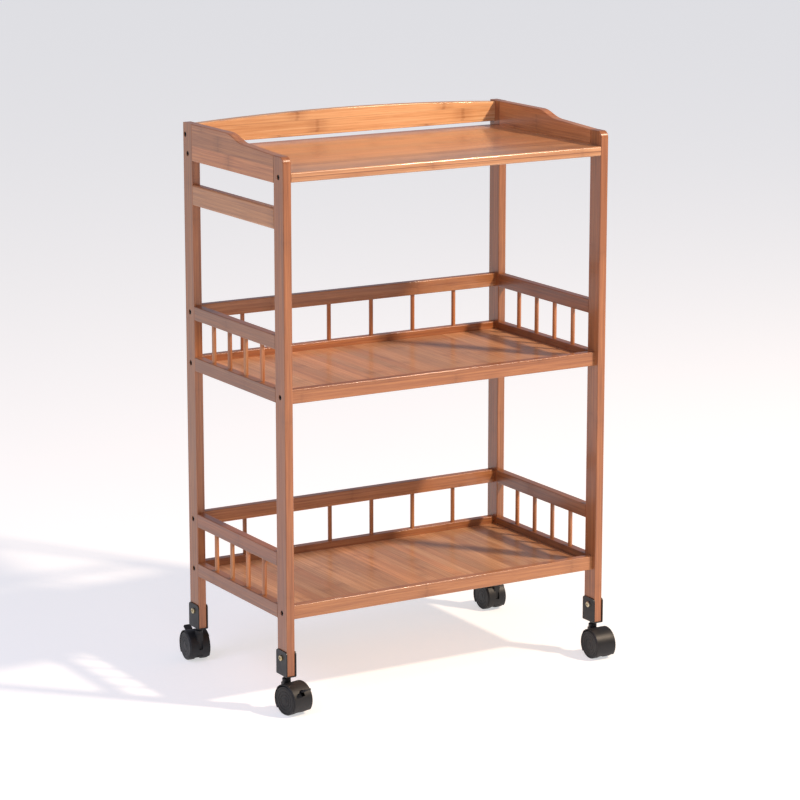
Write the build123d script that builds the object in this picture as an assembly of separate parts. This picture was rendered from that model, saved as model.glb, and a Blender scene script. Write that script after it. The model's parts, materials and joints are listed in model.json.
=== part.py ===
# Three-tier rolling utility cart in bamboo: two side frames of posts, rails, spindles and a shaped
# top panel, joined by a top shelf, a back panel and two railed tiers, on four twin-wheel casters.
# Origin: on the floor under the middle of the cart. X runs along the cart, Y from front to back
# (the front is at -Y), Z is up. Left is -X. All sizes are in millimetres.

import os
from math import cos, radians, sin

from build123d import *

# The frame
cart_width = 500.0  # over the outer faces of the posts
cart_depth = 280.0  # over the front and rear faces of the posts
post_thickness = 12.0  # along X
post_depth = 26.0  # along Y
rear_post_top = 753.0
edge_ease = 1.2  # rounding of the long bamboo edges
end_gap = 0.5  # room left at the blind end of every hole

# The profiled top of the side panels and front posts
side_panel_bottom = 703.0
ogee_start = 17.0  # Y where the high rear part of the profile ends
ogee_end = -30.0  # Y where the low front part begins
ogee_foot = 743.0  # height at the foot of the ogee
front_post_top = 739.0  # height where the profile meets the front post
front_corner = 9.0  # radius of the front post's top corner

# The back panel
back_panel_thickness = 13.0
back_panel_bottom = 723.5
back_panel_end = 751.0  # height at the ends of its arch
back_panel_rise = 7.0  # rise of the arch at the middle

# The top shelf
top_shelf_top = 718.5
top_shelf_thickness = 13.0
top_shelf_ease = 2.4  # rounding of its front and rear edges
top_shelf_rear_inset = 7.0  # from the posts' rear faces to the shelf's rear edge

# The handle rail on the left side
handle_top = 671.0
handle_height = 28.0
handle_ease = 2.5

# The two railed tiers
lower_tier_top = 144.5  # top of the bottom tier's lower rails
tier_pitch = 290.0
rail_height = 19.0
rail_thickness = 12.0  # of the front and back rails
gallery_height = 70.5  # from the lower rails' tops to the upper rails' tops
side_spindle_count = 4
back_spindle_count = 6
spindle_diameter = 6.0
spindle_socket = 6.0  # depth of the blind holes that hold the spindles

# The tier panels, which lie in grooves in the lower rails
panel_thickness = 7.0
panel_recess = 10.0  # from the rails' tops down to the panel
tongue_thickness = 4.0  # of the tongue along the middle of the panel's edges
tongue_reach = 3.0  # how far the tongue goes into the rails
panel_clearance = 0.2  # around the panel, above the tongue and at the bottom of the groove

# Dowels between the rails and the posts of one side frame
dowel_diameter = 5.0
dowel_in_post = 8.0
dowel_in_rail = 16.0
dowel_edge_distance = 8.0  # from the top or bottom edge of a tall piece to its dowel

# Bolts and barrel nuts between the side frames and the long pieces
bolt_diameter = 4.8
bolt_hole_clearance = 0.3
bolt_head_diameter = 6.6
bolt_head_height = 3.6
bolt_head_sink = 0.8  # the head lies this far below the post's face
bolt_head_clearance = 0.3
bolt_socket_size = 3.0  # across the flats of the hexagonal recess
bolt_socket_depth = 2.2
hexagon_sides = 6
bolt_in_rail = 28.0
barrel_nut_diameter = 7.0
barrel_nut_length = 9.0
barrel_nut_inset = 21.0  # from the end of the long piece to the nut's centre line
panel_corner_cut = 34.0  # the tier panel's tongue stops this far short, clear of the nuts

# The U-shaped caster brackets
bracket_gauge = 1.6
bracket_width = 28.0
bracket_ear_height = 33.0
bracket_ear_corner = 4.0
bracket_screw_height = 23.0  # above the post's underside
bracket_screw_diameter = 4.6
bracket_screw_clearance = 0.2
screw_head_diameter = 8.0
screw_head_height = 2.2
screw_recess_width = 1.2
screw_recess_length = 4.6
screw_recess_depth = 1.2
cap_nut_diameter = 8.0
cap_nut_height = 2.4
cap_nut_sleeve = 6.0
cap_nut_wall = 0.8

# The casters
wheel_diameter = 40.0
wheel_width = 10.0
wheel_gap = 0.5  # between the wheels and the housing's web
web_thickness = 9.0
caster_offset = 14.0  # from the swivel's axis to the wheels' axle
hood_clearance = 0.7
hood_thickness = 1.5
hood_back_angle = 138.0  # where the hood ends above the axle on the stem's side
hood_front_angle = 322.0  # where it begins below the axle on the trailing side
hood_cut_sides = 4  # flat sides of the wedge cut from the hood's ring
web_inset = 2.5  # from the wheels' rims in to the web's edge
web_floor_gap = 8.0
boss_diameter = 11.5
boss_rise = 5.5  # from the top of the wheels to the top of the boss
post_lift = 5.5  # from the top of the boss to the underside of the posts
stem_diameter = 6.0
stem_clearance = 0.05
stem_neck_diameter = 8.0
stem_end = 15.0  # the stem's lower end above the floor
stem_gap = 0.6  # between the stem's neck and the housing's boss
stem_head_diameter = 10.0
stem_head_height = 2.4
axle_diameter = 5.0
axle_clearance = 0.05
axle_cover = 2.0  # wheel material left outside the axle's blind bore
wheel_edge_outer = 1.8
wheel_edge_inner = 0.6
wheel_dish_depth = 1.2
wheel_rim_width = 3.6  # from the tread in to the dish
wheel_hub_radius = 5.0
wheel_ring_radius = 10.6
wheel_ring_width = 1.2
wheel_ring_height = 0.6

# The brake levers on the two left casters
lever_rest_angle = 25.5  # above the horizontal with the brake released
lever_travel = 20.0  # degrees down to the locked position
lever_arm_width = 5.4
lever_arm_thickness = 3.0
lever_arm_length = 12.6
lever_length = 23.3
lever_pad_width = 11.0
lever_pad_thickness = 2.6
lever_pad_ease = 0.8
lever_slot_clearance = 0.4
lever_slot_play = 6.0  # degrees of free room past each end of the travel
lever_pin_diameter = 3.0
lever_pin_clearance = 0.05
lever_pin_reach = 8.6  # over the ends of the moulded pivot pins

# Worked out from the sizes above
half_width = cart_width / 2
half_depth = cart_depth / 2
post_inner_x = half_width - post_thickness
post_centre_x = half_width - post_thickness / 2
post_inner_y = half_depth - post_depth
post_centre_y = half_depth - post_depth / 2
rail_outer_y = post_centre_y + rail_thickness / 2
rail_inner_y = post_centre_y - rail_thickness / 2
top_shelf_centre_z = top_shelf_top - top_shelf_thickness / 2
back_panel_centre_y = half_depth - back_panel_thickness / 2
back_panel_bolt_z = (back_panel_bottom + back_panel_end) / 2
barrel_nut_x = post_inner_x - barrel_nut_inset
wheel_radius = wheel_diameter / 2
wheel_dish_radius = wheel_radius - wheel_rim_width
web_radius = wheel_radius - web_inset
boss_top = wheel_diameter + boss_rise
post_bottom = boss_top + post_lift
wheel_inner_x = web_thickness / 2 + wheel_gap
caster_half_width = wheel_inner_x + wheel_width
hood_inner_radius = wheel_radius + hood_clearance
hood_outer_radius = hood_inner_radius + hood_thickness
bracket_bottom = post_bottom - bracket_gauge
cap_nut_sleeve_radius = bracket_screw_diameter / 2 + cap_nut_wall
bracket_hole_radius = cap_nut_sleeve_radius + bracket_screw_clearance

left, right = -1, 1
front, rear = -1, 1
side_names = {left: "left", right: "right"}
end_names = {front: "front", rear: "rear"}
tiers = {"middle": lower_tier_top + tier_pitch, "bottom": lower_tier_top}

# Which way each caster trails at rest: degrees about Z from straight forward (-Y)
caster_turn = {
    (front, left): 11.0,
    (front, right): 0.0,
    (rear, left): 175.0,
    (rear, right): 180.0,
}
braked_casters = [(front, left), (rear, left)]

# Heights and places of the bolts, the same on both sides: (Y, Z, direction of the barrel nut)
bolt_places = [
    (back_panel_centre_y, back_panel_bolt_z, "Y"),
    (post_centre_y, top_shelf_centre_z, "Z"),
    (-post_centre_y, top_shelf_centre_z, "Z"),
]
for tier_top in tiers.values():
    lower_rail_z = tier_top - rail_height / 2
    bolt_places.append((post_centre_y, lower_rail_z + gallery_height, "Z"))
    bolt_places.append((post_centre_y, lower_rail_z, "Z"))
    bolt_places.append((-post_centre_y, lower_rail_z, "Z"))


def block(low, high):
    """A box between two opposite corners."""
    size = [b - a for a, b in zip(low, high)]
    middle = [(a + b) / 2 for a, b in zip(low, high)]
    return Pos(*middle) * Box(*size)


def rod(start, end, radius):
    """A round bar from one point to another."""
    run = Vector(*end) - Vector(*start)
    place = Plane(origin=start, z_dir=run)
    return place * Cylinder(radius, run.length, align=(Align.CENTER, Align.CENTER, Align.MIN))


def eased(solid, axis, radius=edge_ease):
    """The solid with its edges along one axis rounded."""
    return fillet(solid.edges().filter_by(axis), radius)


def cut_all(solid, tools):
    """The solid less every tool in the list."""
    for tool in tools:
        solid = solid - tool
    return solid


def prism(points, x_low, x_high):
    """A closed outline of (Y, Z) points carried from one X to another."""
    outline = make_face(Polyline(*[(x_low, y, z) for y, z in points], close=True))
    return extrude(outline, amount=x_high - x_low, dir=(1, 0, 0))


def polar(centre_y, centre_z, radius, degrees):
    """A point about the axle: 0 degrees is the trailing side (-Y), 90 is up."""
    angle = radians(degrees)
    return centre_y - radius * cos(angle), centre_z + radius * sin(angle)


# ---- dowels ----


def side_frame_joints(side):
    """Heights of the dowels of one side frame."""
    heights = [
        side_panel_bottom + dowel_edge_distance,
        front_post_top - dowel_edge_distance,
    ]
    if side == left:
        heights.append(handle_top - dowel_edge_distance)
        heights.append(handle_top - handle_height + dowel_edge_distance)
    for tier_top in tiers.values():
        lower_rail_z = tier_top - rail_height / 2
        heights.append(lower_rail_z)
        heights.append(lower_rail_z + gallery_height)
    return heights


def dowel(side, end, height, gap=0.0):
    """One dowel along Y through the face where a rail meets a post."""
    x = side * post_centre_x
    outer_y = end * (post_inner_y + dowel_in_post + gap)
    inner_y = end * (post_inner_y - dowel_in_rail - gap)
    return rod((x, inner_y, height), (x, outer_y, height), dowel_diameter / 2)


def dowels():
    pieces = []
    for side in side_names:
        for end in end_names:
            for height in side_frame_joints(side):
                pieces.append(dowel(side, end, height))
    return pieces


def dowel_holes(side):
    holes = []
    for end in end_names:
        for height in side_frame_joints(side):
            holes.append(dowel(side, end, height, end_gap))
    return holes


# ---- bolts and barrel nuts ----


def bolt(side, y, z):
    """A socket-head bolt, its head sunk in the post's outer face."""
    head_face = side * (half_width - bolt_head_sink)
    head_seat = side * (half_width - bolt_head_sink - bolt_head_height)
    tip = side * (post_inner_x - bolt_in_rail)
    head = rod((head_seat, y, z), (head_face, y, z), bolt_head_diameter / 2)
    shank = rod((tip, y, z), (head_seat, y, z), bolt_diameter / 2)
    mouth = Plane(origin=(head_face, y, z), z_dir=(-side, 0, 0))
    flats = RegularPolygon(bolt_socket_size / 2, hexagon_sides, major_radius=False)
    return head + shank - extrude(mouth * flats, amount=bolt_socket_depth)


def bolt_hole(side, y, z):
    """The counterbored hole that one bolt needs through post and rail."""
    outside = side * (half_width + end_gap)
    head_seat = side * (half_width - bolt_head_sink - bolt_head_height)
    tip = side * (post_inner_x - bolt_in_rail - end_gap)
    bore = rod((tip, y, z), (outside, y, z), bolt_diameter / 2 + bolt_hole_clearance)
    mouth = rod((head_seat, y, z), (outside, y, z), bolt_head_diameter / 2 + bolt_head_clearance)
    return bore + mouth


def barrel_nut(side, y, z, direction):
    """A round cross nut that a bolt screws into."""
    x = side * barrel_nut_x
    half = barrel_nut_length / 2
    if direction == "Z":
        body = rod((x, y, z - half), (x, y, z + half), barrel_nut_diameter / 2)
    else:
        body = rod((x, y - half, z), (x, y + half, z), barrel_nut_diameter / 2)
    thread = rod((x - barrel_nut_diameter, y, z), (x + barrel_nut_diameter, y, z), bolt_diameter / 2)
    return body - thread


def barrel_nut_hole(side, y, z, direction):
    """The blind hole for a barrel nut, open underneath or at the back."""
    x = side * barrel_nut_x
    half = barrel_nut_length / 2
    if direction == "Z":
        return rod((x, y, z - rail_height), (x, y, z + half), barrel_nut_diameter / 2)
    return rod((x, y - half, z), (x, y + back_panel_thickness, z), barrel_nut_diameter / 2)


def frame_bolts():
    return [bolt(side, y, z) for side in side_names for y, z, _ in bolt_places]


def barrel_nuts():
    return [barrel_nut(side, *place) for side in side_names for place in bolt_places]


bolt_holes = [bolt_hole(side, y, z) for side in side_names for y, z, _ in bolt_places]
nut_holes = [barrel_nut_hole(side, *place) for side in side_names for place in bolt_places]


def bored(solid, holes):
    """The solid less those of the holes that reach it."""
    box = solid.bounding_box()
    near = []
    for hole in holes:
        other = hole.bounding_box()
        apart = (
            other.min.X > box.max.X or other.max.X < box.min.X
            or other.min.Y > box.max.Y or other.max.Y < box.min.Y
            or other.min.Z > box.max.Z or other.max.Z < box.min.Z
        )
        if not apart:
            near.append(hole)
    return cut_all(solid, near)


# ---- the side frames ----


def bracket_screw_hole(side, end):
    x = side * post_centre_x
    y = end * post_centre_y
    z = post_bottom + bracket_screw_height
    return rod((x - post_thickness, y, z), (x + post_thickness, y, z), bracket_hole_radius)


def stem_head_recess(side, end):
    x = side * post_centre_x
    y = end * post_centre_y
    top = post_bottom + stem_head_height + end_gap
    return rod((x, y, bracket_bottom), (x, y, top), stem_head_diameter / 2 + end_gap)


def post(side, end):
    """An upright; the front ones end in the slope and rounded corner of the side profile."""
    top = rear_post_top if end == rear else front_post_top
    low_x, high_x = sorted((side * post_inner_x, side * half_width))
    low_y, high_y = sorted((end * post_inner_y, end * half_depth))
    solid = block((low_x, low_y, post_bottom), (high_x, high_y, top))
    if end == front:
        corner = solid.edges().filter_by(Axis.X).group_by(Axis.Z)[-1].sort_by(Axis.Y)[0]
        solid = fillet(corner, front_corner)
    solid = eased(solid, Axis.Z)
    solid = solid - bracket_screw_hole(side, end) - stem_head_recess(side, end)
    return bored(solid, bolt_holes + dowel_holes(side))


def side_panel(side):
    """The shaped panel between two posts: level at the back, an ogee, then a gentle slope."""
    waist_y = (ogee_start + ogee_end) / 2
    waist_z = (rear_post_top + ogee_foot) / 2
    slope = (ogee_foot - front_post_top) / (ogee_end + post_inner_y)
    low_x, high_x = sorted((side * post_inner_x, side * half_width))
    with BuildPart() as panel:
        with BuildSketch(Plane(origin=(low_x, 0, 0), x_dir=(0, 1, 0), z_dir=(1, 0, 0))):
            with BuildLine():
                Line((-post_inner_y, side_panel_bottom), (post_inner_y, side_panel_bottom))
                Line((post_inner_y, side_panel_bottom), (post_inner_y, rear_post_top))
                Line((post_inner_y, rear_post_top), (ogee_start, rear_post_top))
                Spline(
                    (ogee_start, rear_post_top),
                    (waist_y, waist_z),
                    (ogee_end, ogee_foot),
                    tangents=[(-1, 0), (-1, -slope)],
                )
                Line((ogee_end, ogee_foot), (-post_inner_y, front_post_top))
                Line((-post_inner_y, front_post_top), (-post_inner_y, side_panel_bottom))
            make_face()
        extrude(amount=high_x - low_x)
    solid = panel.part
    outline = [
        edge
        for edge in solid.edges()
        if edge.bounding_box().size.X < end_gap and edge.bounding_box().size.Y > end_gap
    ]
    solid = fillet(outline, edge_ease)
    return bored(solid, dowel_holes(side))


def side_bar(side, low_z, high_z, radius):
    """A bar of a side frame, from post to post."""
    low_x, high_x = sorted((side * post_inner_x, side * half_width))
    bar = block((low_x, -post_inner_y, low_z), (high_x, post_inner_y, high_z))
    return eased(bar, Axis.Y, radius)


def handle_rail():
    bar = side_bar(left, handle_top - handle_height, handle_top, handle_ease)
    return bored(bar, dowel_holes(left))


# ---- the tiers ----


def side_spindle_places():
    step = 2 * post_inner_y / (side_spindle_count + 1)
    return [-post_inner_y + step * (n + 1) for n in range(side_spindle_count)]


def back_spindle_places():
    step = 2 * post_inner_x / (back_spindle_count + 1)
    return [-post_inner_x + step * (n + 1) for n in range(back_spindle_count)]


def spindle(x, y, tier_top, gap=0.0):
    """A round spindle between a lower and an upper rail."""
    low = tier_top - spindle_socket - gap
    high = tier_top + gallery_height - rail_height + spindle_socket + gap
    return rod((x, y, low), (x, y, high), spindle_diameter / 2)


def side_spindles(side, tier_top, gap=0.0):
    x = side * post_centre_x
    return [spindle(x, y, tier_top, gap) for y in side_spindle_places()]


def back_spindles(tier_top, gap=0.0):
    return [spindle(x, post_centre_y, tier_top, gap) for x in back_spindle_places()]


def tongue_heights(tier_top):
    """The underside and the top of the tongue around a tier's panel."""
    low = tier_top - panel_recess - (panel_thickness + tongue_thickness) / 2
    return low, low + tongue_thickness


def tier_panel(tier_top):
    """A board between the lower rails, with a tongue along each edge."""
    top = tier_top - panel_recess
    edge_x = post_inner_x - panel_clearance
    edge_y = rail_inner_y - panel_clearance
    board = block((-edge_x, -edge_y, top - panel_thickness), (edge_x, edge_y, top))
    low, high = tongue_heights(tier_top)
    tongue_x = post_inner_x + tongue_reach
    tongue_y = rail_inner_y + tongue_reach
    side_y = post_inner_y - panel_clearance
    side_tongues = block((-tongue_x, -side_y, low), (tongue_x, side_y, high))
    long_x = edge_x - panel_corner_cut
    long_tongues = block((-long_x, -tongue_y, low), (long_x, tongue_y, high))
    return board + side_tongues + long_tongues


def side_groove(tier_top):
    """The groove along the side rails, cut from end to end; the tongue lies on its lower lip."""
    low, high = tongue_heights(tier_top)
    reach = post_inner_x + tongue_reach + panel_clearance
    return block((-reach, -post_inner_y, low), (reach, post_inner_y, high + panel_clearance))


def long_groove(tier_top):
    """The groove along the front and back rails, cut from end to end."""
    low, high = tongue_heights(tier_top)
    reach = rail_inner_y + tongue_reach + panel_clearance
    return block((-post_inner_x, -reach, low), (post_inner_x, reach, high + panel_clearance))


def lower_side_rail(side, tier_top):
    bar = side_bar(side, tier_top - rail_height, tier_top, edge_ease)
    bar = bar - side_groove(tier_top)
    return bored(bar, side_spindles(side, tier_top, end_gap) + dowel_holes(side))


def upper_side_rail(side, tier_top):
    rail_top = tier_top + gallery_height
    bar = side_bar(side, rail_top - rail_height, rail_top, edge_ease)
    return bored(bar, side_spindles(side, tier_top, end_gap) + dowel_holes(side))


def long_bar(end, low_z, high_z):
    """A front or back rail between the side frames."""
    low_y, high_y = sorted((end * rail_inner_y, end * rail_outer_y))
    bar = block((-post_inner_x, low_y, low_z), (post_inner_x, high_y, high_z))
    return eased(bar, Axis.X)


def lower_long_rail(end, tier_top):
    bar = long_bar(end, tier_top - rail_height, tier_top) - long_groove(tier_top)
    holes = bolt_holes + nut_holes
    if end == rear:
        holes = holes + back_spindles(tier_top, end_gap)
    return bored(bar, holes)


def upper_back_rail(tier_top):
    rail_top = tier_top + gallery_height
    bar = long_bar(rear, rail_top - rail_height, rail_top)
    return bored(bar, bolt_holes + nut_holes + back_spindles(tier_top, end_gap))


# ---- the top ----


def top_shelf():
    low = (-post_inner_x, -half_depth, top_shelf_top - top_shelf_thickness)
    high = (post_inner_x, half_depth - top_shelf_rear_inset, top_shelf_top)
    return bored(eased(block(low, high), Axis.X, top_shelf_ease), bolt_holes + nut_holes)


def back_panel():
    """The board along the back, with an arched top."""
    with BuildPart() as panel:
        with BuildSketch(Plane(origin=(0, half_depth, 0), x_dir=(1, 0, 0), z_dir=(0, -1, 0))):
            with BuildLine():
                Line((-post_inner_x, back_panel_bottom), (post_inner_x, back_panel_bottom))
                Line((post_inner_x, back_panel_bottom), (post_inner_x, back_panel_end))
                ThreePointArc(
                    (post_inner_x, back_panel_end),
                    (0, back_panel_end + back_panel_rise),
                    (-post_inner_x, back_panel_end),
                )
                Line((-post_inner_x, back_panel_end), (-post_inner_x, back_panel_bottom))
            make_face()
        extrude(amount=back_panel_thickness)
    solid = panel.part
    long_edges = [edge for edge in solid.edges() if edge.bounding_box().size.X > post_inner_x]
    return bored(fillet(long_edges, edge_ease), bolt_holes + nut_holes)


# ---- the caster brackets ----


def bracket(side, end):
    """A steel strap bent up both sides of the post's foot."""
    x = side * post_centre_x
    y = end * post_centre_y
    inner = post_thickness / 2
    outer = inner + bracket_gauge
    ear_top = post_bottom + bracket_ear_height
    half = bracket_width / 2
    strap = block((-outer, -half, bracket_bottom), (outer, half, ear_top))
    strap = fillet(strap.edges().filter_by(Axis.Y).group_by(Axis.Z)[0], bracket_gauge)
    strap = fillet(strap.edges().filter_by(Axis.X).group_by(Axis.Z)[-1], bracket_ear_corner)
    strap = strap - block((-inner, -half, post_bottom), (inner, half, ear_top))
    screw_z = post_bottom + bracket_screw_height
    strap = strap - rod((-outer, 0, screw_z), (outer, 0, screw_z), bracket_hole_radius)
    strap = strap - rod((0, 0, bracket_bottom), (0, 0, post_bottom), stem_neck_diameter / 2)
    return Pos(x, y, 0) * strap


def bracket_screw(side, end):
    """A cross-recessed screw from the left ear into the cap nut at the right ear."""
    x = side * post_centre_x
    y = end * post_centre_y
    z = post_bottom + bracket_screw_height
    seat = x - post_thickness / 2 - bracket_gauge
    tip = x + post_thickness / 2 + bracket_gauge - end_gap
    head = rod((seat - screw_head_height, y, z), (seat, y, z), screw_head_diameter / 2)
    head = fillet(head.edges().sort_by(Axis.X)[0], screw_head_height / 2)
    shank = rod((seat, y, z), (tip, y, z), bracket_screw_diameter / 2)
    low_x = seat - screw_head_height
    high_x = low_x + screw_recess_depth
    wide = screw_recess_length / 2
    thin = screw_recess_width / 2
    slot_y = block((low_x, y - wide, z - thin), (high_x, y + wide, z + thin))
    slot_z = block((low_x, y - thin, z - wide), (high_x, y + thin, z + wide))
    return head + shank - slot_y - slot_z


def cap_nut(side, end):
    """The sleeve nut at the right ear."""
    x = side * post_centre_x
    y = end * post_centre_y
    z = post_bottom + bracket_screw_height
    seat = x + post_thickness / 2 + bracket_gauge
    crown = rod((seat, y, z), (seat + cap_nut_height, y, z), cap_nut_diameter / 2)
    crown = fillet(crown.edges().sort_by(Axis.X)[-1], cap_nut_height / 2)
    sleeve = rod((seat - cap_nut_sleeve, y, z), (seat, y, z), cap_nut_sleeve_radius)
    thread = rod((seat - cap_nut_sleeve, y, z), (seat, y, z), bracket_screw_diameter / 2)
    return crown + sleeve - thread


def corners():
    return [(end, side) for end in end_names for side in side_names]


# ---- the casters, made at the origin trailing towards -Y ----

axle_y = -caster_offset
axle_z = wheel_radius
pivot_y = axle_y - wheel_radius / 2
pivot_z = axle_z + wheel_radius / 2


def placed(solid, end, side):
    """A caster's piece moved under its post and turned to its rest direction."""
    here = Pos(side * post_centre_x, end * post_centre_y, 0)
    return here * Rot(0, 0, caster_turn[(end, side)]) * solid


def stem():
    """The swivel pin: head in the post's foot, neck through the bracket, pin in the housing."""
    head = rod((0, 0, post_bottom), (0, 0, post_bottom + stem_head_height), stem_head_diameter / 2)
    neck = rod((0, 0, boss_top + stem_gap), (0, 0, post_bottom), stem_neck_diameter / 2)
    pin = rod((0, 0, stem_end), (0, 0, boss_top + stem_gap), stem_diameter / 2)
    return head + neck + pin


def axle():
    reach = caster_half_width - axle_cover - end_gap
    return rod((-reach, axle_y, axle_z), (reach, axle_y, axle_z), axle_diameter / 2)


def wheel(hand):
    """One wheel; hand is left or right, the side of the web that it runs on."""
    disc = Cylinder(wheel_radius, wheel_width, align=(Align.CENTER, Align.CENTER, Align.MIN))
    disc = fillet(disc.edges().filter_by(GeomType.CIRCLE).sort_by(Axis.Z)[-1], wheel_edge_outer)
    disc = fillet(disc.edges().filter_by(GeomType.CIRCLE).sort_by(Axis.Z)[0], wheel_edge_inner)
    dish_floor = (0, 0, wheel_width - wheel_dish_depth)
    outer_face = (0, 0, wheel_width)
    ring_top = (0, 0, wheel_width - wheel_dish_depth + wheel_ring_height)
    dish = rod(dish_floor, outer_face, wheel_dish_radius) - rod(dish_floor, outer_face, wheel_hub_radius)
    ring = rod(dish_floor, ring_top, wheel_ring_radius + wheel_ring_width)
    ring = ring - rod(dish_floor, ring_top, wheel_ring_radius)
    bore_end = (0, 0, wheel_width - axle_cover)
    bore = rod((0, 0, -end_gap), bore_end, axle_diameter / 2 + axle_clearance)
    seat = Plane(origin=(hand * wheel_inner_x, axle_y, axle_z), z_dir=(hand, 0, 0))
    return seat * (disc - dish + ring - bore)


def hood_sector():
    """The wedge that is cut from the hood's ring, below the axle and towards the stem."""
    step = (hood_front_angle - hood_back_angle) / hood_cut_sides
    points = [(axle_y, axle_z)]
    for n in range(hood_cut_sides + 1):
        points.append(polar(axle_y, axle_z, wheel_diameter, hood_back_angle + step * n))
    return prism(points, -caster_half_width - end_gap, caster_half_width + end_gap)


def lever_slot():
    """The room that the lever's arm needs through the web and the hood."""
    half = lever_arm_width / 2 + lever_slot_clearance
    low = lever_rest_angle - lever_travel - lever_slot_play
    high = lever_rest_angle + lever_slot_play
    reach = lever_arm_length + lever_slot_clearance
    lift = lever_arm_thickness / 2 + lever_slot_clearance
    points = [
        (pivot_y, pivot_z - lift),
        (pivot_y - reach * cos(radians(low)), pivot_z - lift + reach * sin(radians(low))),
        (pivot_y - reach * cos(radians(high)), pivot_z + lift + reach * sin(radians(high))),
        (pivot_y, pivot_z + lift),
    ]
    knuckle = rod((-half, pivot_y, pivot_z), (half, pivot_y, pivot_z), lift + lever_slot_clearance)
    return prism(points, -half, half) + knuckle


def lever_pins(extra=0.0):
    half = lever_pin_reach / 2 + extra
    return rod((-half, pivot_y, pivot_z), (half, pivot_y, pivot_z), lever_pin_diameter / 2 + extra)


def housing(braked):
    """The moulded body: a web between the wheels, a hood over them and a boss for the stem."""
    half_web = web_thickness / 2
    web = rod((-half_web, axle_y, axle_z), (half_web, axle_y, axle_z), web_radius)
    boss_front = boss_diameter / 2
    spine = block((-half_web, axle_y, web_floor_gap), (half_web, boss_front, boss_top - boss_front))
    boss = rod((0, 0, axle_z), (0, 0, boss_top), boss_diameter / 2)
    boss = fillet(boss.edges().filter_by(GeomType.CIRCLE).sort_by(Axis.Z)[-1], hood_clearance)
    near_end = (-caster_half_width, axle_y, axle_z)
    far_end = (caster_half_width, axle_y, axle_z)
    ring = rod(near_end, far_end, hood_outer_radius)
    rims = ring.edges().filter_by(GeomType.CIRCLE)
    ring = fillet(rims, hood_clearance)
    core = rod(near_end, far_end, hood_inner_radius)
    hood = ring - core - hood_sector()
    below = block((-half_web, axle_y - web_radius, 0), (half_web, boss_front, web_floor_gap))
    body = hood + (web - below) + spine + boss
    reach = caster_half_width + end_gap
    for hand in side_names:
        well = rod((hand * half_web, axle_y, axle_z), (hand * reach, axle_y, axle_z), hood_inner_radius)
        body = body - well
    stem_bore = stem_diameter / 2 + stem_clearance
    body = body - rod((0, 0, stem_end - end_gap), (0, 0, boss_top + end_gap), stem_bore)
    body = body - rod((-half_web, axle_y, axle_z), (half_web, axle_y, axle_z), axle_diameter / 2)
    if braked:
        body = body - lever_slot() - lever_pins(lever_pin_clearance)
    return body


def brake_lever():
    """A foot lever on two short moulded pins, shown with the brake released."""
    half_arm = lever_arm_width / 2
    half_pad = lever_pad_width / 2
    half_thick = lever_arm_thickness / 2
    pad_half = lever_pad_thickness / 2
    arm = block((-half_arm, -lever_arm_length, -half_thick), (half_arm, 0, half_thick))
    knuckle = rod((-half_arm, 0, 0), (half_arm, 0, 0), half_thick)
    pad = block((-half_pad, -lever_length, -pad_half), (half_pad, -lever_arm_length, pad_half))
    pad = eased(pad, Axis.Z, lever_pad_thickness)
    pad = fillet(pad.edges().filter_by(Axis.X), lever_pad_ease)
    flat = arm + knuckle + pad
    turned = Pos(0, pivot_y, pivot_z) * Rot(-lever_rest_angle, 0, 0) * flat
    return turned + lever_pins()


# ---- every node of the cart ----


def compound(solids):
    return Compound(children=list(solids))


def frame_nodes():
    nodes = {
        "back_panel": back_panel(),
        "top_shelf": top_shelf(),
        "handle_rail": handle_rail(),
        "dowels": compound(dowels()),
        "frame_bolts": compound(frame_bolts()),
        "barrel_nuts": compound(barrel_nuts()),
    }
    for side, side_name in side_names.items():
        nodes[f"side_panel_{side_name}"] = side_panel(side)
        for end, end_name in end_names.items():
            nodes[f"post_{end_name}_{side_name}"] = post(side, end)
    return nodes


def tier_nodes(tier, tier_top):
    nodes = {
        f"{tier}_shelf": tier_panel(tier_top),
        f"{tier}_upper_rail_back": upper_back_rail(tier_top),
        f"{tier}_lower_rail_back": lower_long_rail(rear, tier_top),
        f"{tier}_lower_rail_front": lower_long_rail(front, tier_top),
        f"{tier}_spindles_back": compound(back_spindles(tier_top)),
    }
    for side, side_name in side_names.items():
        nodes[f"{tier}_upper_rail_{side_name}"] = upper_side_rail(side, tier_top)
        nodes[f"{tier}_lower_rail_{side_name}"] = lower_side_rail(side, tier_top)
        nodes[f"{tier}_spindles_{side_name}"] = compound(side_spindles(side, tier_top))
    return nodes


def caster_nodes():
    nodes = {
        "bracket_screws": compound(bracket_screw(side, end) for end, side in corners()),
        "bracket_cap_nuts": compound(cap_nut(side, end) for end, side in corners()),
        "caster_stems": compound(placed(stem(), end, side) for end, side in corners()),
    }
    for end, side in corners():
        corner = f"{end_names[end]}_{side_names[side]}"
        braked = (end, side) in braked_casters
        nodes[f"bracket_{corner}"] = bracket(side, end)
        nodes[f"caster_housing_{corner}"] = placed(housing(braked), end, side)
        nodes[f"caster_axle_{corner}"] = placed(axle(), end, side)
        nodes[f"caster_wheel_a_{corner}"] = placed(wheel(left), end, side)
        nodes[f"caster_wheel_b_{corner}"] = placed(wheel(right), end, side)
        if braked:
            nodes[f"brake_lever_{corner}"] = placed(brake_lever(), end, side)
    return nodes


def cart():
    nodes = frame_nodes()
    for tier, tier_top in tiers.items():
        nodes.update(tier_nodes(tier, tier_top))
    nodes.update(caster_nodes())
    return nodes


os.makedirs("parts", exist_ok=True)
for name, shape in cart().items():
    export_step(shape, f"parts/{name}.step")
    print(name)
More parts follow.
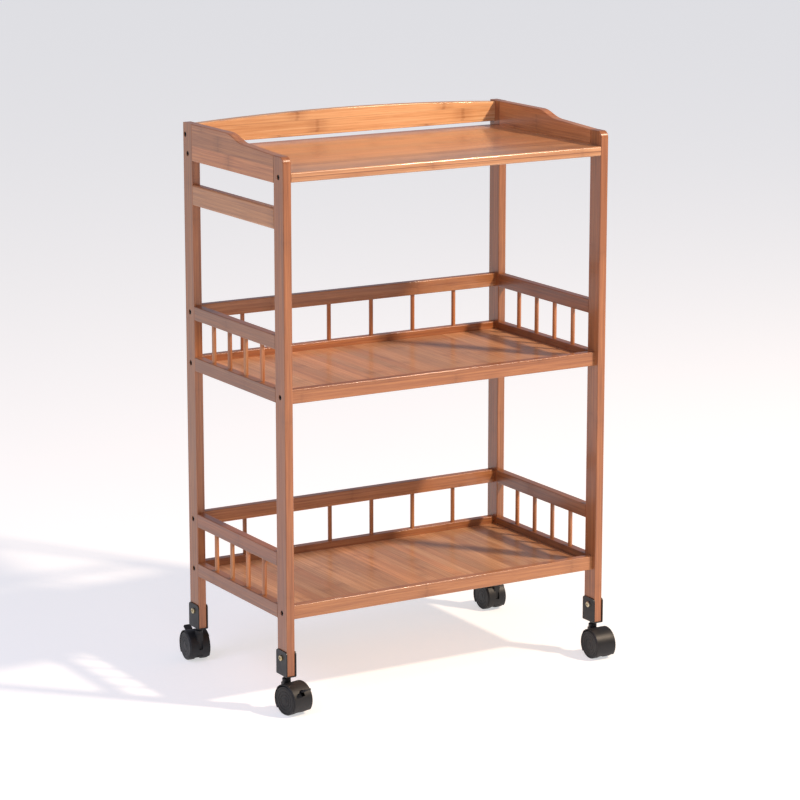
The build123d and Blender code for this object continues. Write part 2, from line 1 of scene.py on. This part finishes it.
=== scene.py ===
import json
import math
import bpy
import numpy as np
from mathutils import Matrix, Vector


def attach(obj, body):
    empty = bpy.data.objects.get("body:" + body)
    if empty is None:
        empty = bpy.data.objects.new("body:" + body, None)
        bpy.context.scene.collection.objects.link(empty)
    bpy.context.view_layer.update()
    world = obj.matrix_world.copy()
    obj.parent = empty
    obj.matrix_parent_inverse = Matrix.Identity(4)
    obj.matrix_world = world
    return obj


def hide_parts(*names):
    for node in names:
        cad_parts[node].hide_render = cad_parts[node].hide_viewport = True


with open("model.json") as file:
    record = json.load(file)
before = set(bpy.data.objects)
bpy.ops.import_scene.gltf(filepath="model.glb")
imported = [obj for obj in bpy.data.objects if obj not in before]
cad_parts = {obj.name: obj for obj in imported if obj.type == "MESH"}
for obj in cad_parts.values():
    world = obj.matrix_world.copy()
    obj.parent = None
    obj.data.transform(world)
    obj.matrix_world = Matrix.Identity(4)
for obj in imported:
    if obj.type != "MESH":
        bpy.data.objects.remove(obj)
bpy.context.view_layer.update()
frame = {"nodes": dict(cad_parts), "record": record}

mm = 0.001
nodes = frame["nodes"]
joints = {joint["name"]: joint for joint in frame["record"]["behaviour"]["joints"]}
corners = ["front_left", "front_right", "rear_left", "rear_right"]
sharpAngle = math.radians(32.0)   # steeper folds than this stay crisp
noiseSpan = (0.3, 0.7)            # where most values of a noise texture lie


def linear(hexColour):
    # sRGB hex to linear light, with alpha 1
    channels = [int(hexColour[i:i + 2], 16) / 255 for i in (1, 3, 5)]
    return [c / 12.92 if c <= 0.04045 else ((c + 0.055) / 1.055) ** 2.4 for c in channels] + [1.0]


def setInputs(tree, node, inputs):
    # an input is a plain value or another node's output
    for key, value in inputs.items():
        if isinstance(value, bpy.types.NodeSocket):
            tree.links.new(value, node.inputs[key])
        else:
            node.inputs[key].default_value = value


def addNode(tree, kind, inputs=None, **settings):
    # settings are the node's own properties
    node = tree.nodes.new(kind)
    for name, value in settings.items():
        setattr(node, name, value)
    setInputs(tree, node, inputs or {})
    return node


def maths(tree, operation, *values):
    # the result of one arithmetic node
    node = addNode(tree, "ShaderNodeMath", dict(enumerate(values)), operation=operation)
    return node.outputs[0]


def fade(tree, value, low, high, toLow=0.0, toHigh=1.0):
    # smooth step of a value from one range to another
    inputs = {"Value": value, "From Min": low, "From Max": high, "To Min": toLow, "To Max": toHigh}
    return addNode(tree, "ShaderNodeMapRange", inputs, interpolation_type="SMOOTHSTEP").outputs[0]


def blend(tree, factor, first, second, mode="MIX"):
    # colour mixed from two others; 6 and 7 are the node's two colour inputs, 2 its colour output
    inputs = {0: factor, 6: first, 7: second}
    node = addNode(tree, "ShaderNodeMix", None, data_type="RGBA", blend_type=mode)
    setInputs(tree, node, inputs)
    return node.outputs[2]


def noise(tree, vector, scale, detail=2.0, rough=0.5):
    inputs = {"Vector": vector, "Scale": scale, "Detail": detail, "Roughness": rough}
    return addNode(tree, "ShaderNodeTexNoise", inputs, noise_dimensions="3D").outputs["Fac"]


def combine(tree, x, y, z):
    return addNode(tree, "ShaderNodeCombineXYZ", {0: x, 1: y, 2: z}).outputs[0]


def split(tree, vector):
    return addNode(tree, "ShaderNodeSeparateXYZ", {0: vector}).outputs


def newMaterial(name):
    material = bpy.data.materials.new(name)
    material.use_nodes = True
    tree = material.node_tree
    tree.nodes.clear()
    shader = addNode(tree, "ShaderNodeBsdfPrincipled")
    addNode(tree, "ShaderNodeOutputMaterial", {"Surface": shader.outputs["BSDF"]})
    return material, tree, shader


def paint(obj, material):
    obj.data.materials.clear()
    obj.data.materials.append(material)


# ---- camera ----

print("camera")
camera = {
    "azimuth": -30.75,    # degrees, 0 looks along +Y, less looks from further left
    "elevation": 12.61,   # degrees above the horizon
    "distance": 4.204,    # metres from the target
    "target": (0.003, -0.005, 0.3695),
    "lens": 138.0,        # mm
    "sensor": 36.0,       # mm
}


def makeCamera(c):
    data = bpy.data.cameras.new("viewCamera")
    data.lens = c["lens"]
    data.sensor_width = c["sensor"]
    a, e = math.radians(c["azimuth"]), math.radians(c["elevation"])
    back = Vector((math.sin(a) * math.cos(e), -math.cos(a) * math.cos(e), math.sin(e)))
    obj = bpy.data.objects.new("viewCamera", data)
    obj.location = Vector(c["target"]) + back * c["distance"]
    obj.rotation_euler = back.to_track_quat("Z", "Y").to_euler()
    bpy.context.scene.collection.objects.link(obj)
    bpy.context.scene.camera = obj


makeCamera(camera)

# ---- bamboo ----

print("bamboo")
bamboo = {
    "pale": "#C58C5A",       # the lightest fibres
    "main": "#B07648",
    "deep": "#945C35",       # the darkest fibres
    "fibreStops": (0.34, 0.5, 0.66),   # fibre noise at which deep, main and pale are reached
    "fineFibre": 0.55,       # mm across one fine fibre
    "broadFibre": 2.6,       # mm
    "fibreStretch": 70.0,    # how much longer a fibre is than it is wide
    "stripShift": 400.0,     # furthest that one strip's fibres are moved from another's
    "pieceShift": 97.0,      # the same from piece to piece, for the random value of a strip
    "stripSeed": 0.37,
    "stripVariation": 0.34,  # brightness from the darkest strip to the palest
    "warm": "#C0703A",       # stain that some strips take up more of
    "warmStrength": 0.25,
    "mottleSize": 60.0,      # mm, patches of heavier stain
    "mottleStretch": 4.0,
    "mottleRange": (0.92, 1.08),
    "node": "#6E3D1E",       # the culm's joints
    "nodeSpacing": 235.0,    # mm between the joints of one strip
    "nodeWidth": 6.5,        # mm from a joint's middle to its faded edge
    "nodeStrength": 0.62,
    "nodeCore": 0.8,         # darkness of the bar's middle, before the strength
    "nodeHalo": (0.5, 3.0),  # the fainter bar's full and faded edges, in node widths
    "nodeHaloStrength": 0.4,
    "nodeStreaks": (0.36, 0.6, 1.0, 0.55),   # fibre noise from and to, darkness there
    "nodeWobbleScale": 0.22,
    "nodeWobble": 7.0,       # mm, how far a joint's line wanders along the grain
    "nodeScatter": 9.0,      # spacings by which the joints of two strips can be apart
    "seam": "#6A3A1C",       # glue lines between strips
    "seamWidth": 0.35,       # mm
    "seamStrength": 0.45,
    "seamSink": 0.8,         # depth of a full seam against the height of a fibre
    "plyWidth": (0.1, 0.8),  # mm from a ply's glue line, where it is full and where it has faded
    "plyStrength": 0.8,
    "endGrain": "#7A4826",
    "endFacing": (0.72, 0.9),   # how squarely a face cuts the grain before it counts as an end
    "endDots": 1.1,          # fibre bundles to a mm
    "endDotEdge": (0.2, 0.45),
    "roughness": (0.30, 0.44),
    "roughnessShares": (0.6, 0.4),   # of the fibres and of the stain's patches
    "coat": 0.55,
    "coatRoughness": 0.16,
    "grainDepth": 0.05,      # mm
    "grainStrength": 0.6,
    "waveSize": 14.0,        # mm, slow waves in the lacquer
    "waveStretch": 3.0,
    "waveDepth": 0.12,       # mm
    "waveStrength": 0.5,
}

axisIndex = {"X": 0, "Y": 1, "Z": 2}


def boardPlace(t, grain, across, phase):
    # millimetres along the grain, across the strips and through the board
    axes = split(t, addNode(t, "ShaderNodeTexCoord").outputs["Object"])
    through = ({"X", "Y", "Z"} - {grain, across}).pop()
    along, side, depth = [
        maths(t, "MULTIPLY", axes[axisIndex[axis]], 1.0 / mm) for axis in (grain, across, through)
    ]
    return along, maths(t, "ADD", side, phase), depth


def stripDice(t, strips, b):
    # four random values for a strip: a strip's number is its place over its width, rounded down
    piece = addNode(t, "ShaderNodeObjectInfo").outputs["Random"]
    number = maths(t, "FLOOR", strips)
    ownPlace = combine(t, number, maths(t, "MULTIPLY", piece, b["pieceShift"]), b["stripSeed"])
    dice = addNode(t, "ShaderNodeTexWhiteNoise", {"Vector": ownPlace}, noise_dimensions="3D")
    chances = addNode(t, "ShaderNodeSeparateColor", {0: dice.outputs["Color"]}).outputs
    return dice.outputs["Value"], chances


def fibreNoise(t, along, side, depth, chance, b):
    # noise squeezed across the grain, started elsewhere in each strip
    shift = maths(t, "MULTIPLY", chance, b["stripShift"])
    start = maths(t, "ADD", maths(t, "DIVIDE", along, b["fibreStretch"]), shift)
    stretched = combine(t, start, side, depth)
    fine = noise(t, stretched, 1.0 / b["fineFibre"], 3.0, 0.6)
    broad = noise(t, stretched, 1.0 / b["broadFibre"], 2.0, 0.5)
    halves = [maths(t, "MULTIPLY", value, 0.5) for value in (fine, broad)]
    return fine, broad, maths(t, "ADD", *halves)


def fibreColour(t, fibre, b):
    # deep, main and pale stain over the fibre noise
    low, middle, high = b["fibreStops"]
    ramp = addNode(t, "ShaderNodeValToRGB", {"Fac": fibre})
    first, last = ramp.color_ramp.elements
    first.position, first.color = low, linear(b["deep"])
    last.position, last.color = high, linear(b["pale"])
    ramp.color_ramp.elements.new(middle).color = linear(b["main"])
    return ramp.outputs["Color"]


def stripTint(t, colour, chances, patch, b):
    # stain taken up differently by each strip, and slow patches over the piece
    v = b["stripVariation"]
    tint = maths(t, "ADD", maths(t, "MULTIPLY", chances[0], v), 1.0 - v / 2)
    tint = maths(t, "MULTIPLY", tint, fade(t, patch, *noiseSpan, *b["mottleRange"]))
    colour = blend(t, 1.0, colour, combine(t, tint, tint, tint), "MULTIPLY")
    warmth = maths(t, "MULTIPLY", chances[1], b["warmStrength"])
    return blend(t, warmth, colour, linear(b["warm"]), "SOFT_LIGHT")


def culmJoints(t, along, side, depth, fibre, chance, b):
    # a blurred dark bar over one strip with a wider, fainter one round it, broken up by the fibres
    wobble = noise(t, combine(t, 0.0, side, depth), b["nodeWobbleScale"], 2.0)
    shifted = maths(t, "ADD", along, maths(t, "MULTIPLY", wobble, b["nodeWobble"]))
    scatter = maths(t, "MULTIPLY", chance, b["nodeScatter"])
    turns = maths(t, "ADD", maths(t, "DIVIDE", shifted, b["nodeSpacing"]), scatter)
    offNode = maths(t, "SUBTRACT", maths(t, "FRACT", turns), 0.5)
    distance = maths(t, "MULTIPLY", maths(t, "ABSOLUTE", offNode), b["nodeSpacing"])
    core = fade(t, distance, 0.0, b["nodeWidth"], b["nodeCore"], 0.0)
    full, faded = [b["nodeWidth"] * widths for widths in b["nodeHalo"]]
    halo = fade(t, distance, full, faded, b["nodeHaloStrength"], 0.0)
    streaks = fade(t, fibre, *b["nodeStreaks"])
    bar = maths(t, "MULTIPLY", maths(t, "MAXIMUM", core, halo), streaks)
    return maths(t, "MULTIPLY", bar, b["nodeStrength"])


def glueLines(t, strips, strip, depth, plyHeight, b):
    # thin lines between neighbouring strips, and between plies if the board has two
    part = maths(t, "FRACT", strips)
    nearest = maths(t, "MINIMUM", part, maths(t, "SUBTRACT", 1.0, part))
    edge = maths(t, "MULTIPLY", nearest, strip)
    seam = fade(t, edge, 0.0, b["seamWidth"], b["seamStrength"], 0.0)
    if plyHeight is None:
        return seam
    layer = maths(t, "ABSOLUTE", maths(t, "SUBTRACT", depth, plyHeight))
    return maths(t, "MAXIMUM", seam, fade(t, layer, *b["plyWidth"], b["plyStrength"], 0.0))


def cutEnds(t, colour, grain, side, depth, b):
    # faces square to the grain show the fibre bundles as dots
    normal = split(t, addNode(t, "ShaderNodeNewGeometry").outputs["True Normal"])
    ends = fade(t, maths(t, "ABSOLUTE", normal[axisIndex[grain]]), *b["endFacing"])
    flat = {"Vector": combine(t, 0.0, side, depth), "Scale": b["endDots"]}
    dots = addNode(t, "ShaderNodeTexVoronoi", flat).outputs["Distance"]
    between = fade(t, dots, *b["endDotEdge"])
    dotted = blend(t, between, linear(b["endGrain"]), linear(b["main"]))
    return blend(t, ends, colour, dotted)


def lacquerRoughness(t, broad, patch, b):
    # duller and glossier places that follow the broad fibres and the stain
    shares = zip((broad, patch), b["roughnessShares"])
    mixed = maths(t, "ADD", *[maths(t, "MULTIPLY", value, share) for value, share in shares])
    return fade(t, mixed, *noiseSpan, *b["roughness"])


def bambooMaterial(name, grain, across, strip, phase=0.0, plyHeight=None, changes=None):
    # Stained bamboo strips glued side by side under clear lacquer. Everything that differs from
    # strip to strip comes from a random value of the strip's number and of the piece.
    b = {**bamboo, **(changes or {})}
    material, t, shader = newMaterial(name)
    along, side, depth = boardPlace(t, grain, across, phase)
    strips = maths(t, "DIVIDE", side, strip)
    chance, chances = stripDice(t, strips, b)
    fine, broad, fibre = fibreNoise(t, along, side, depth, chance, b)
    slow = combine(t, maths(t, "DIVIDE", along, b["mottleStretch"]), side, depth)
    patch = noise(t, slow, 1.0 / b["mottleSize"], 2.0)
    colour = stripTint(t, fibreColour(t, fibre, b), chances, patch, b)
    bar = culmJoints(t, along, side, depth, fibre, chances[2], b)
    colour = blend(t, bar, colour, linear(b["node"]))
    seam = glueLines(t, strips, strip, depth, plyHeight, b)
    colour = blend(t, seam, colour, linear(b["seam"]))
    colour = cutEnds(t, colour, grain, side, depth, b)

    # fibres and sunken glue lines under the lacquer, slow waves on it
    relief = maths(t, "SUBTRACT", fine, maths(t, "MULTIPLY", seam, b["seamSink"]))
    bump = addNode(t, "ShaderNodeBump", {
        "Height": relief,
        "Distance": b["grainDepth"] * mm,
        "Strength": b["grainStrength"],
    })
    slower = combine(t, maths(t, "DIVIDE", along, b["waveStretch"]), side, depth)
    skin = addNode(t, "ShaderNodeBump", {
        "Height": noise(t, slower, 1.0 / b["waveSize"], 1.0),
        "Distance": b["waveDepth"] * mm,
        "Strength": b["waveStrength"],
    })
    setInputs(t, shader, {
        "Base Color": colour,
        "Roughness": lacquerRoughness(t, broad, patch, b),
        "Normal": bump.outputs[0],
        "IOR": 1.5,
        "Coat Weight": b["coat"],
        "Coat Roughness": b["coatRoughness"],
        "Coat Normal": skin.outputs[0],
    })
    return material


# the grain's axis, the axis across the strips, the strip's width and the first seam's place in mm,
# the height of a glue line between plies, then what differs from the bamboo above
woods = {
    # one broad strip on each face, so an upright looks like a single dark length
    "post": bambooMaterial(
        "bamboo upright, caramel stain, satin lacquer", "Z", "Y", 13.0, changes={
            "pale": "#B07548", "main": "#9A6138", "deep": "#7E4C2A",
            "stripVariation": 0.12, "seamStrength": 0.2, "nodeStrength": 0.4,
        }),
    # fibres drawn out along the cart, a little darker than the shelves
    "longRail": bambooMaterial(
        "bamboo long rail, caramel stain, satin lacquer", "X", "Z", 19.0, 8.0,
        changes={"pale": "#B98353", "main": "#A46D43", "deep": "#895633"}),
    # the palest piece, with the boldest culm joints
    "backPanel": bambooMaterial(
        "bamboo back panel, light caramel stain, satin lacquer", "X", "Z", 18.0, 11.0, changes={
            "pale": "#E6BD8E", "main": "#D8A674", "deep": "#BF8856",
            "node": "#84491F", "nodeStrength": 0.85, "nodeWidth": 8.0,
        }),
    # broad strips, so that few seams show
    "handle": bambooMaterial(
        "bamboo handle rail, caramel stain, satin lacquer", "Y", "Z", 28.0, 1.0),
    # the deepest stain of the rails
    "sideRail": bambooMaterial(
        "bamboo side rail, deep caramel stain, satin lacquer", "Y", "Z", 19.0, 8.0,
        changes={"pale": "#A26D46", "main": "#8D5B38", "deep": "#75492C"}),
    # two or three strips with a seam between them
    "sidePanel": bambooMaterial(
        "bamboo side panel, caramel stain, satin lacquer", "Y", "Z", 21.0, 11.0),
    # plain thin sticks without seams
    "spindle": bambooMaterial(
        "turned bamboo spindle, satin lacquer", "Z", "Y", 40.0, 15.0,
        changes={"nodeStrength": 0.25, "seamStrength": 0.0}),
    # raw and pale, without lacquer
    "dowel": bambooMaterial(
        "plain bamboo dowel, unstained", "Y", "Z", 60.0, 0.0,
        changes={"pale": "#E2C893", "main": "#D3B27A", "deep": "#B08C56", "coat": 0.0}),
    # the glossiest board, with a ply line along its edges
    "topBoard": bambooMaterial(
        "bamboo top board, caramel stain, gloss lacquer", "X", "Y", 21.0, 6.0,
        plyHeight=712.0, changes={
            "coat": 0.8, "coatRoughness": 0.13, "nodeStrength": 0.5,
            "pale": "#D4A274", "main": "#C18B5F", "deep": "#A67047",
        }),
    # strips from front to back that differ clearly from one another
    "tierBoard": bambooMaterial(
        "bamboo strip board, caramel stain, gloss lacquer", "Y", "X", 15.0, 3.0, changes={
            "coat": 0.5, "coatRoughness": 0.2, "roughness": (0.36, 0.5),
            "nodeStrength": 0.45, "seamStrength": 0.4, "stripVariation": 0.32,
            "pale": "#D2A680", "main": "#BE9068", "deep": "#A3764F",
        }),
}


def woodFor(name):
    # which wood a piece is made of, or None for metal and nylon
    if name.startswith("post"):
        return "post"
    if name.startswith("side_panel"):
        return "sidePanel"
    if name.endswith("_shelf"):
        return "topBoard" if name == "top_shelf" else "tierBoard"
    if "spindles" in name:
        return "spindle"
    if "_rail_" in name:
        return "sideRail" if name.endswith(("left", "right")) else "longRail"
    return {"back_panel": "backPanel", "dowels": "dowel", "handle_rail": "handle"}.get(name)


for name, obj in nodes.items():
    wood = woodFor(name)
    if wood:
        paint(obj, woods[wood])

# ---- metal and nylon ----

print("metal and nylon")
surface = {
    "cloudSize": 22.0,       # mm, slow changes of colour and sheen
    "cloudEdge": (0.35, 0.65),   # cloud noise between the dark colour and the light one
    "dustFacing": (0.2, 1.0),    # how far a face looks up, from no dust to the most
    "dustPatches": (0.35, 0.7, 0.2, 1.0),   # cloud noise from and to, share of the dust there
    "dust": "#8C8479",       # what settles on faces that look up
    "bumpStrength": 0.7,
}


def grainyMaterial(name, dark, light, roughness, size, depth, dust=0.0, metallic=0.0):
    # An even coloured surface with a fine texture; size and depth are its grain's in mm.
    material, t, shader = newMaterial(name)
    place = addNode(t, "ShaderNodeTexCoord").outputs["Object"]
    grains = noise(t, place, 1.0 / (size * mm), 2.0, 0.6)
    cloud = noise(t, place, 1.0 / (surface["cloudSize"] * mm), 3.0, 0.6)
    colour = blend(t, fade(t, cloud, *surface["cloudEdge"]), linear(dark), linear(light))
    if dust:
        up = split(t, addNode(t, "ShaderNodeNewGeometry").outputs["Normal"])[axisIndex["Z"]]
        patchy = fade(t, cloud, *surface["dustPatches"])
        lying = maths(t, "MULTIPLY", fade(t, up, *surface["dustFacing"]), patchy)
        colour = blend(t, maths(t, "MULTIPLY", lying, dust), colour, linear(surface["dust"]))
    bump = addNode(t, "ShaderNodeBump", {
        "Height": grains,
        "Distance": depth * mm,
        "Strength": surface["bumpStrength"],
    })
    setInputs(t, shader, {
        "Base Color": colour,
        "Metallic": metallic,
        "Roughness": fade(t, cloud, *noiseSpan, *roughness),
        "Normal": bump.outputs[0],
    })
    return material


# soft sheen of a sprayed and baked coat with a slight orange peel
powderCoat = grainyMaterial(
    "powder coated steel, satin black", "#0A0A0B", "#101011", (0.34, 0.46), 0.9, 0.05, dust=0.04)
# eroded mould texture: greyish sheen at a grazing angle
blackNylon = grainyMaterial(
    "moulded nylon, fine matt texture, black", "#08090B", "#0E0F12", (0.46, 0.58), 0.45, 0.04,
    dust=0.04)
# a little smoother than the housing, so that the rings catch thin lights
wheelNylon = grainyMaterial(
    "moulded nylon wheel, smooth black", "#070708", "#0C0C0E", (0.42, 0.56), 0.7, 0.03, dust=0.02)
# dark metal with a faint oily highlight
blackOxide = grainyMaterial(
    "black oxide steel, oiled", "#0E0E0F", "#1B1A1A", (0.28, 0.42), 0.6, 0.02, metallic=0.6)
# the one bright metal, slightly golden
yellowZinc = grainyMaterial(
    "yellow zinc plated steel, bright", "#C4B48A", "#DDD4B8", (0.22, 0.36), 0.8, 0.02,
    metallic=1.0)

metals = {
    "frame_bolts": blackOxide,
    "barrel_nuts": yellowZinc,
    "bracket_screws": yellowZinc,
    "bracket_cap_nuts": yellowZinc,
    "caster_stems": blackOxide,
}
for name, obj in nodes.items():
    if name in metals:
        paint(obj, metals[name])
    elif name.startswith("bracket_"):
        paint(obj, powderCoat)
    elif name.startswith("caster_axle"):
        paint(obj, blackOxide)
    elif name.startswith(("caster_housing", "brake_lever")):
        paint(obj, blackNylon)
    elif name.startswith("caster_wheel"):
        paint(obj, wheelNylon)

# ---- wheels ----

print("wheels")
wheel = {
    "width": 10.0,         # mm, as are all lengths here
    "radius": 20.0,
    "outerEdge": 1.8,      # rounding of the rim
    "innerEdge": 0.6,
    "innerEase": 0.3,      # share of the inner edge where its bevel turns
    "crown": 0.12,         # how far the tread swells in the middle
    "rings": (16.6, 12.4, 8.2),   # radii of the grooves in the face
    "ringWidth": 0.55,
    "ringDepth": 0.45,
    "ringLip": 0.12,       # from a groove's edge out to the flat face
    "ringSlope": 0.1,      # how far a groove's floor stops short of its edge
    "dish": 0.5,           # how far the face sinks towards the hub
    "hub": 3.4,
    "hubRise": 0.35,
    "hubSlope": 0.2,
    "bore": 2.55,
    "boreDepth": 8.0,
    "pole": 0.02,          # radius of the pinhole where a flat disc closes
    "webGap": 5.0,         # from the caster's middle plane to the wheel
    "curveSteps": 9,       # points along the tread and round the rim
    "segments": 112,
}


def casterFrame(corner):
    # the swivel's place and the axle's direction; a caster's own -Y is where it trails
    place = np.array(joints["swivel_" + corner]["pos_m"])
    axle = np.array(joints["spin_a_" + corner]["axis"])
    behind = np.array([-axle[1], axle[0], 0.0])
    return place, axle, behind


def toWorld(corner, points):
    # points in mm in the caster's own frame, with height from the floor, to metres in the scene
    place, axle, behind = casterFrame(corner)
    flat = points[:, :1] * axle + points[:, 1:2] * behind
    foot = np.array([place[0], place[1], 0.0])
    return flat * mm + foot + points[:, 2:] * np.array([0.0, 0.0, mm])


def trailOf(corner):
    # distance from the swivel to the axle, negative towards the trailing side
    place, axle, behind = casterFrame(corner)
    gap = np.array(joints["spin_a_" + corner]["pos_m"]) - place
    return float(gap @ behind) / mm


axleTrail = trailOf("front_right")


def addPiece(name, points, faces, material, body):
    # a new smooth-shaded piece that moves with a body of the model
    mesh = bpy.data.meshes.new(name)
    mesh.from_pydata(points.tolist(), [], faces)
    mesh.update()
    mesh.polygons.foreach_set("use_smooth", np.full(len(mesh.polygons), True))
    mesh.set_sharp_from_angle(angle=sharpAngle)
    obj = bpy.data.objects.new(name, mesh)
    bpy.context.scene.collection.objects.link(obj)
    paint(obj, material)
    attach(obj, body)
    return obj


def gridFaces(rows, columns):
    # quads between neighbouring rows, with the last column joined to the first
    i, j = np.meshgrid(np.arange(rows - 1), np.arange(columns), indexing="ij")
    k = (j + 1) % columns
    quads = [i * columns + j, i * columns + k, (i + 1) * columns + k, (i + 1) * columns + j]
    return np.stack(quads, axis=-1).reshape(-1, 4)


def wheelProfile(w):
    # (distance from the web, radius) from the bore's floor round the tread to the hub
    rim = w["radius"] - w["innerEdge"]
    bevel = w["innerEdge"] * w["innerEase"]
    points = [(w["boreDepth"], w["pole"]), (w["boreDepth"], w["bore"]), (0.0, w["bore"])]
    points += [(0.0, rim), (bevel, w["radius"] - bevel)]
    start, stop = w["innerEdge"], w["width"] - w["outerEdge"]
    top = w["radius"] - w["crown"]
    for u in np.linspace(0.0, 1.0, w["curveSteps"]):
        points.append((start + (stop - start) * u, top + w["crown"] * math.sin(math.pi * u)))
    for q in np.radians(np.linspace(90.0, 0.0, w["curveSteps"]))[1:]:
        rise = w["outerEdge"] * (1 - math.sin(q))
        points.append((stop + w["outerEdge"] * math.cos(q), top - rise))

    def face(radius):
        # the dished face: deepest at the middle, level with the rim at the full radius
        return w["width"] - w["dish"] * (1.0 - (radius / w["radius"]) ** 2)

    for ring in w["rings"]:
        lip = w["ringWidth"] / 2 + w["ringLip"]
        foot = w["ringWidth"] / 2 - w["ringSlope"]
        floor = face(ring) - w["ringDepth"]
        points += [(face(ring + lip), ring + lip), (floor, ring + foot)]
        points += [(floor, ring - foot), (face(ring - lip), ring - lip)]
    points.append((face(w["hub"]), w["hub"] + w["hubSlope"]))
    points.append((face(w["hub"]) + w["hubRise"], w["hub"] - w["hubSlope"]))
    points.append((face(0.0) + w["hubRise"], w["pole"]))
    return np.array(points)


def makeWheel(corner, letter, hand, w):
    # the profile turned about the axle: height is radius times sine, the rest radius times cosine
    profile = wheelProfile(w)
    turn = np.linspace(0.0, 2 * math.pi, w["segments"], endpoint=False)
    across = hand * (w["webGap"] + profile[:, :1]) + 0.0 * turn
    trail = axleTrail + profile[:, 1:] * np.cos(turn)
    height = w["radius"] + profile[:, 1:] * np.sin(turn)
    points = np.stack([across, trail, height], axis=-1).reshape(-1, 3)
    faces = gridFaces(len(profile), w["segments"])
    if hand < 0:
        faces = faces[:, ::-1]
    body = f"wheel_{letter}_{corner}"
    piece = addPiece(body, toWorld(corner, points), faces.tolist(), wheelNylon, body)
    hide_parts(f"caster_wheel_{letter}_{corner}")


for corner in corners:
    makeWheel(corner, "a", -1, wheel)
    makeWheel(corner, "b", 1, wheel)

# ---- hood skirts ----

print("hood skirts")
skirt = {
    "inner": 20.75,        # mm from the axle, as the hood
    "outer": 22.15,
    "halfWidth": 14.2,     # mm
    "notchHalf": 2.4,      # half of the notch in front of the stem
    "edge": 0.35,          # mm, bevel of the long edges
    "top": 136.0,          # degrees round from the trailing side
    "notchFoot": 184.0,
    "foot": 218.0,
    "steps": 26,
}


def arcSlab(low, high, start, stop, s):
    # a curved slab: a bevelled rectangle of width by thickness carried round the axle, with
    # capped ends; height is radius times sine, the rest radius times cosine
    angles = np.radians(np.linspace(start, stop, s["steps"]))[:, None]
    edge, inner, outer = s["edge"], s["inner"], s["outer"]
    inside, outside = inner + edge, outer - edge
    width = np.array([low + edge, high - edge, high, high, high - edge, low + edge, low, low])
    radius = np.array([inner, inner, inside, outside, outer, outer, outside, inside])
    x = width + 0.0 * angles
    y = axleTrail - radius * np.cos(angles)
    z = wheel["radius"] + radius * np.sin(angles)
    points = np.stack([x, y, z], axis=-1).reshape(-1, 3)
    outline = len(width)
    last = (s["steps"] - 1) * outline
    caps = [list(range(outline))[::-1], [last + n for n in range(outline)]]
    return points, gridFaces(s["steps"], outline).tolist() + caps


def makeSkirt(corner, s):
    # two strips beside the notch, joined below it by one over the full width
    slabs = [
        arcSlab(-s["halfWidth"], -s["notchHalf"], s["top"], s["notchFoot"], s),
        arcSlab(s["notchHalf"], s["halfWidth"], s["top"], s["notchFoot"], s),
        arcSlab(-s["halfWidth"], s["halfWidth"], s["notchFoot"], s["foot"], s),
    ]
    points, faces = [], []
    for slabPoints, slabFaces in slabs:
        offset = sum(len(p) for p in points)
        points.append(slabPoints)
        faces += [[offset + n for n in face] for face in slabFaces]
    world = toWorld(corner, np.concatenate(points))
    addPiece("hood_skirt_" + corner, world, faces, blackNylon, "caster_" + corner)


for corner in corners:
    makeSkirt(corner, skirt)

# ---- stage ----

print("stage")
stage = {
    "halfSize": 40.0,        # metres
    "colour": "#D2D1D1",
    "roughness": 0.9,
    "glow": 0.55,            # makes up for the light that a white room would give
}


def makeFloor(s):
    h = s["halfSize"]
    mesh = bpy.data.meshes.new("floor")
    mesh.from_pydata([(-h, -h, 0), (h, -h, 0), (h, h, 0), (-h, h, 0)], [], [(0, 1, 2, 3)])
    floor = bpy.data.objects.new("floor", mesh)
    bpy.context.scene.collection.objects.link(floor)
    # even and pale, without any sheen
    paper, t, shader = newMaterial("white paper sweep, matt")
    setInputs(t, shader, {
        "Base Color": linear(s["colour"]),
        "Roughness": s["roughness"],
        "Emission Color": linear("#FFFFFF"),
        "Emission Strength": s["glow"],
    })
    paint(floor, paper)


makeFloor(stage)

studio = {
    "sky": "#DEE0F2",
    "skyStrength": 0.36,
    "aim": (0.0, 0.0, 0.4),   # metres, where every light points
    "lights": {
        # place in metres, size in metres, power in watts, colour
        "key": ((1.75, -2.15, 2.75), 0.22, 142.0, "#FFE6CB"),
        "fill": ((-1.7, -0.5, 1.9), 1.1, 15.0, "#CFCFFF"),
        "frontPanel": ((-1.6, -3.6, 2.9), 1.2, 16.0, "#FFF3EA"),
    },
}


def makeLights(s):
    world = bpy.data.worlds.new("studio")
    bpy.context.scene.world = world
    world.use_nodes = True
    background = world.node_tree.nodes["Background"]
    background.inputs["Color"].default_value = linear(s["sky"])
    background.inputs["Strength"].default_value = s["skyStrength"]
    for name, (place, size, power, hue) in s["lights"].items():
        data = bpy.data.lights.new(name, "AREA")
        data.size = size
        data.energy = power
        data.color = linear(hue)[:3]
        obj = bpy.data.objects.new(name, data)
        obj.location = place
        away = Vector(place) - Vector(s["aim"])
        obj.rotation_euler = away.to_track_quat("Z", "Y").to_euler()
        bpy.context.scene.collection.objects.link(obj)


makeLights(studio)
bpy.context.scene.view_settings.view_transform = "Standard"
